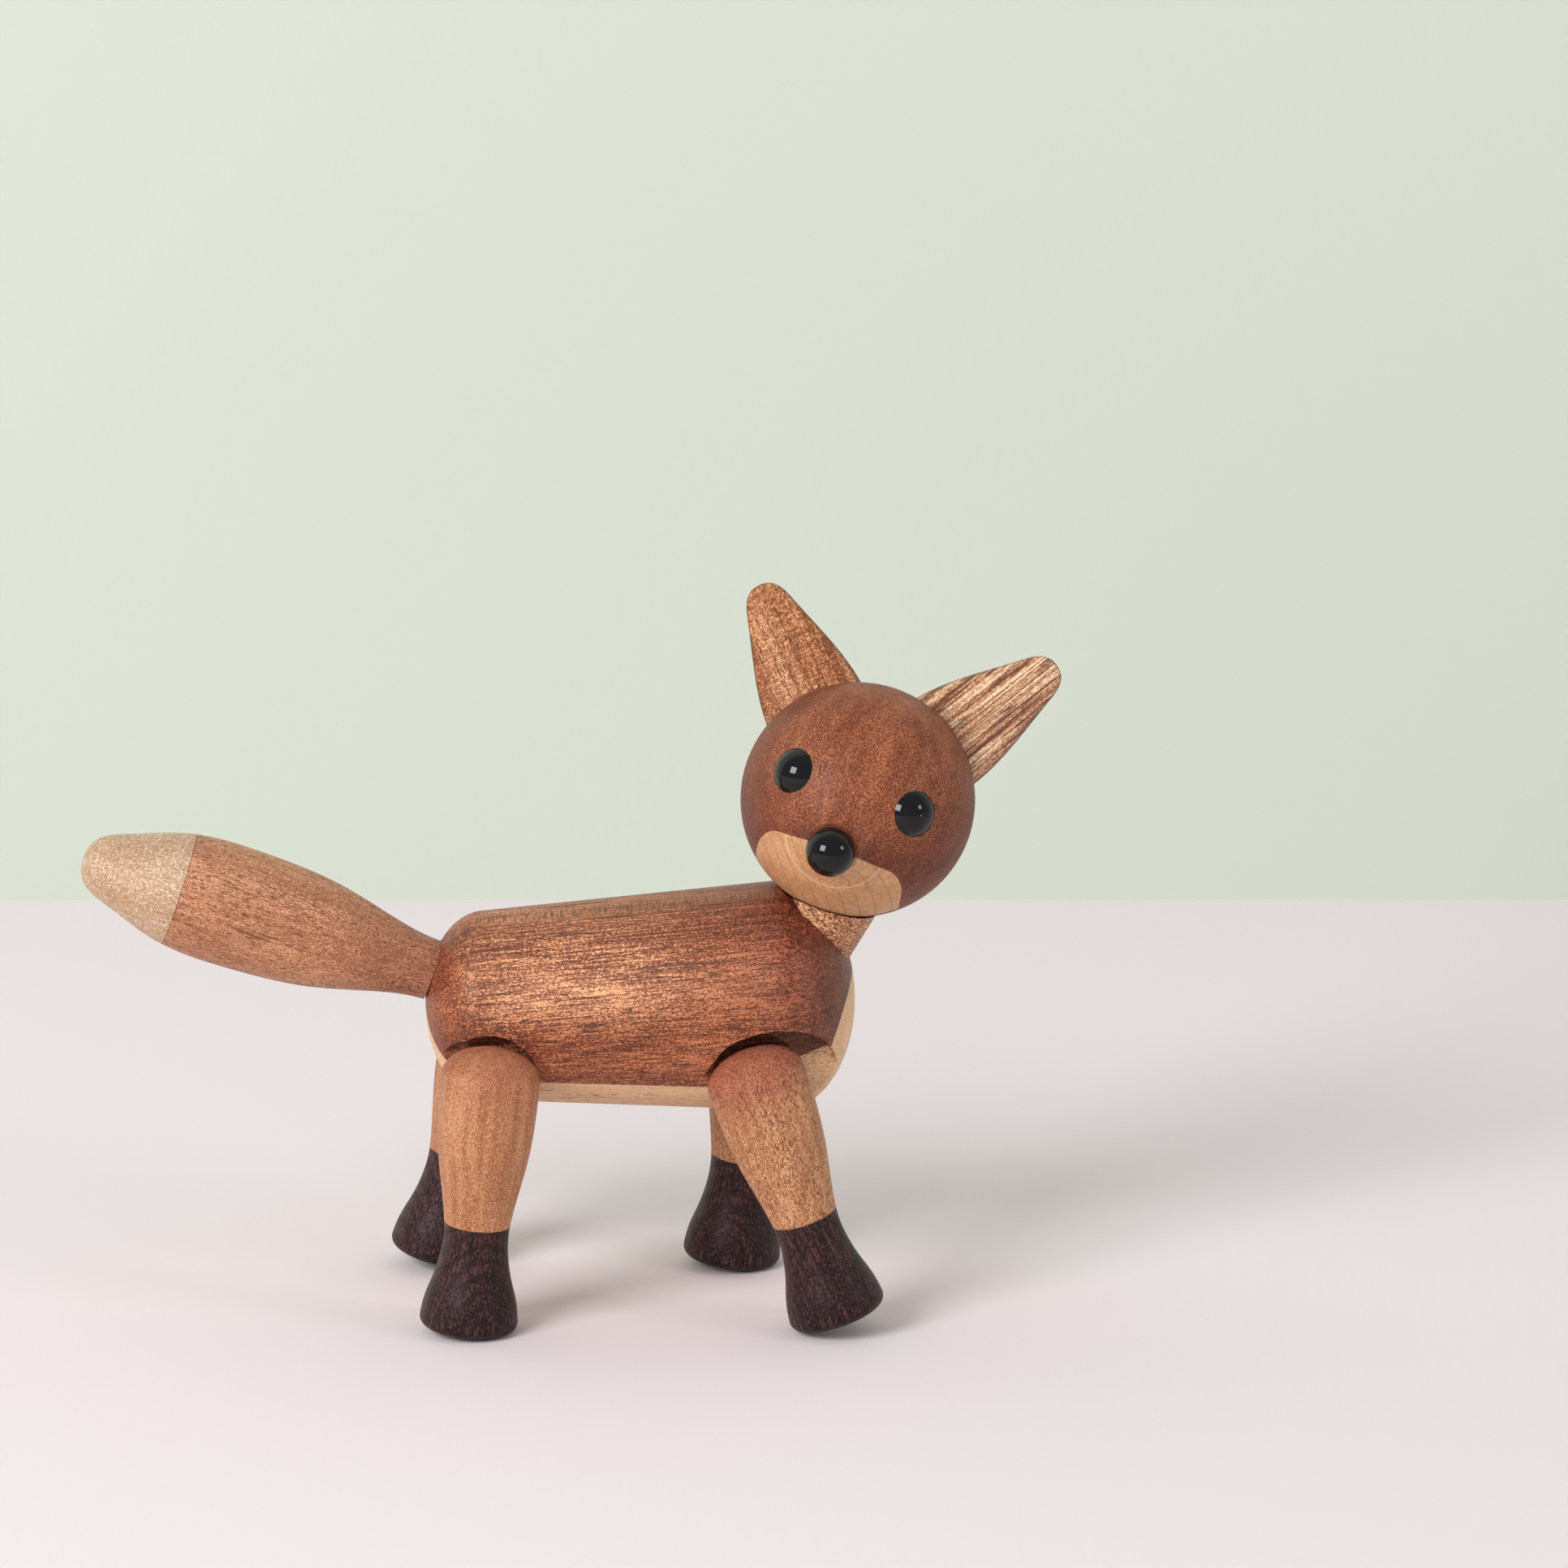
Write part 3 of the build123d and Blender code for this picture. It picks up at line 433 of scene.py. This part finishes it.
right_spread, left_spread = -44.5, 35.5
ear_up, ear_wide, ear_flat = ear_frame(right_spread)
finish_with(["right_ear"], wood(
    "right ear wood", head_centre, ear_up, ear_wide,
    tones=((0.21, 0.052, 0.018), (0.50, 0.185, 0.075), (0.84, 0.430, 0.215)),
    pores=((0.11, 0.026, 0.010), 0.13, 1.1, 0.9), roughness=0.48, warp=1.0,
    streak=(0.9, 0.03, 1.3), grit=(3.6, 2.4, 2.0), vein=(2.2, 1.7, 0.34), layer_depth=0.15,
    extra=rays_and_rim(ear_flat)))
ear_up, ear_wide, ear_flat = ear_frame(left_spread)
finish_with(["left_ear"], wood(
    "left ear wood", head_centre, ear_up + ear_wide * 0.10, ear_wide,
    tones=((0.17, 0.045, 0.016), (0.60, 0.285, 0.140), (1.0, 0.740, 0.500)),
    pores=((0.060, 0.015, 0.010), 0.12, 4.0, 0.5), lines=(0.9, 30.0, 0.97), roughness=0.42,
    warp=0.8, streak=(1.7, 0.012, 1.7), grit=(3.8, 2.0, 1.3), vein=(1.3, 0.03, 0.30),
    layer_depth=0.06, extra=rim(ear_flat), sheen=((1.0, 0.84, 0.68), 0.8)))

# Tail: a turned club of pinkish mid-brown wood with short fine pores along it, and a pale tip
# dowelled on before it was turned, with a rippled figure. It turns on a peg in the rump.
tail_joint = joints["tail_turn"]
tail_axis = Vector(tail_joint["axis"])
tail_seat = tail_joint["pos_m"]
tail_seam = 49.5


def dark_root(g, at, grain, colour):
    """Darker towards the thin end at the rump."""
    root = g.step(g.split(at)[2], 26.0, 3.0)
    return g.mix(g.math("MULTIPLY", root, 0.8), colour, (0.66, 0.56, 0.56), "MULTIPLY")


def ripple(g, at, grain, colour):
    """Fine wavy bands across the tip."""
    z = g.split(grain)[2]
    wobble = g.noise(at, (0.5, 0.5, 0.3), 2.0).outputs["Fac"]
    wave = g.math("SINE", g.math("MULTIPLY_ADD", z, 6.4, g.math("MULTIPLY", wobble, 22.0)))
    return g.mix(g.step(wave, -0.2, 1.0, 0.0, 0.6), colour, (0.46, 0.250, 0.125))


finish_with(["tail"], wood(
    "tail wood", tail_seat, tail_axis, (0, 1, 0.2),
    tones=((0.31, 0.112, 0.056), (0.53, 0.228, 0.120), (0.78, 0.410, 0.240)),
    pores=((0.15, 0.042, 0.022), 0.12, 1.2, 0.9), lines=(0.6, 9.0, 0.46), roughness=0.52,
    extra=dark_root, streak=(1.3, 0.10, 0.8), grit=(4.2, 2.6, 1.8), vein=(2.6, 1.8, 0.24),
    seams=(tail_seam,)))
finish_with(["tail_tip"], wood(
    "tail tip wood", tail_seat, tail_axis, (0, 1, 0.2),
    tones=((0.42, 0.245, 0.140), (0.62, 0.435, 0.300), (0.80, 0.650, 0.510)),
    pores=((0.36, 0.18, 0.09), 0.14, 1.3, 0.9), roughness=0.46, extra=ripple,
    streak=(1.4, 0.10, 0.9), grit=(3.6, 2.0, 1.5), vein=(2.2, 1.4, 0.26)))

# Dowels, axles and pegs: plain sanded pale wood, hidden inside the joints; and the rubber rings
# that give the limbs their grip.
dowels = [n for n in nodes if n.endswith(("dowel", "axle", "peg"))]
finish_with(dowels, wood(
    "dowel wood", (0, 0, 0), (0, 0, 1), (1, 0, 0),
    tones=((0.46, 0.32, 0.19), (0.60, 0.45, 0.29), (0.70, 0.55, 0.38)),
    pores=((0.36, 0.24, 0.14), 0.2, 4.0, 0.5), roughness=0.62, coat=0.0))
g = Graph("ring rubber")
bloom = g.noise(g.local((0, 0, 0), (0, 0, 1), (1, 0, 0)), (1.2, 1.2, 1.2), 3.0).outputs["Fac"]
g.links.new(g.ramp(bloom, ((0.3, (0.018, 0.018, 0.018)), (0.7, (0.030, 0.029, 0.028)))),
            g.bsdf.inputs["Base Color"])
g.bsdf.inputs["Roughness"].default_value = 0.7
finish_with(["hip_rings", "head_ring", "tail_ring"], g.mat)

# Stage: a pale table and a pale sage wall behind it, both plain painted board. Each is painted
# on one face only and is clear from its back, so that the figure can be seen from all round.


def sheet_of(name, corners, colour):
    """A flat board, painted on the face that its corners run round anticlockwise."""
    mesh = bpy.data.meshes.new(name)
    mesh.from_pydata(corners, [], [(0, 1, 2, 3)])
    piece = bpy.data.objects.new(name, mesh)
    bpy.context.scene.collection.objects.link(piece)
    g = Graph(name)
    g.bsdf.inputs["Base Color"].default_value = (*colour, 1.0)
    g.bsdf.inputs["Roughness"].default_value = 0.9
    g.bsdf.inputs["Specular IOR Level"].default_value = 0.1
    face = g.nodes.new("ShaderNodeNewGeometry")
    clear = g.nodes.new("ShaderNodeBsdfTransparent")
    one_face = g.nodes.new("ShaderNodeMixShader")
    g.links.new(face.outputs["Backfacing"], one_face.inputs[0])
    g.links.new(g.bsdf.outputs[0], one_face.inputs[1])
    g.links.new(clear.outputs[0], one_face.inputs[2])
    g.links.new(one_face.outputs[0], g.out.inputs[0])
    mesh.materials.append(g.mat)


wall_at = 0.27
sheet_of("table", [(-5, -5, 0), (5, -5, 0), (5, 5, 0), (-5, 5, 0)], (0.865, 0.785, 0.81))
sheet_of("wall", [(-3, wall_at, 0), (3, wall_at, 0), (3, wall_at, 2.5), (-3, wall_at, 2.5)],
         (0.645, 0.70, 0.60))

# Light: a large softbox high on the left beside the camera, a weaker one on the right, and an
# even white surround.


def softbox(name, place, aim, size, power):
    """A flat lamp at place, turned to aim; metres and watts."""
    lamp = bpy.data.lights.new(name, "AREA")
    lamp.shape = "RECTANGLE"
    lamp.size, lamp.size_y = size
    lamp.energy = power
    piece = bpy.data.objects.new(name, lamp)
    bpy.context.scene.collection.objects.link(piece)
    piece.location = place
    piece.rotation_euler = (Vector(aim) - Vector(place)).to_track_quat("-Z", "Y").to_euler()


figure_middle = (0, 0, 0.06)
softbox("key", (-1.12, -1.30, 1.06), figure_middle, (0.84, 0.84), 29.0)
softbox("side", (2.14, -1.08, 1.18), figure_middle, (0.60, 0.60), 8.0)
world = bpy.data.worlds.new("surround")
bpy.context.scene.world = world
world.use_nodes = True
surround = world.node_tree.nodes["Background"]
surround.inputs["Color"].default_value = (0.96, 0.98, 1.0, 1.0)
surround.inputs["Strength"].default_value = 0.48

# Camera: a long lens on the fox's right side, a little above it. Its scale and aim are measured
# in the photograph.
focal_px = 20000.0
image_px = 1932.0
px_per_m = 6700.0
sensor_mm = 36.0
camera_elevation = math.radians(15.4)
aim = Vector((0.0267, 0, 0.0986))
lens = bpy.data.cameras.new("camera")
lens.sensor_fit = "HORIZONTAL"
lens.sensor_width = sensor_mm
lens.lens = sensor_mm * focal_px / image_px
lens.clip_end = 20.0
camera = bpy.data.objects.new("camera", lens)
bpy.context.scene.collection.objects.link(camera)
sight = Vector((0, math.cos(camera_elevation), -math.sin(camera_elevation)))
camera.location = aim - sight * (focal_px / px_per_m)
camera.rotation_euler = sight.to_track_quat("-Z", "Y").to_euler()
bpy.context.scene.camera = camera
bpy.context.scene.view_settings.view_transform = "Standard"
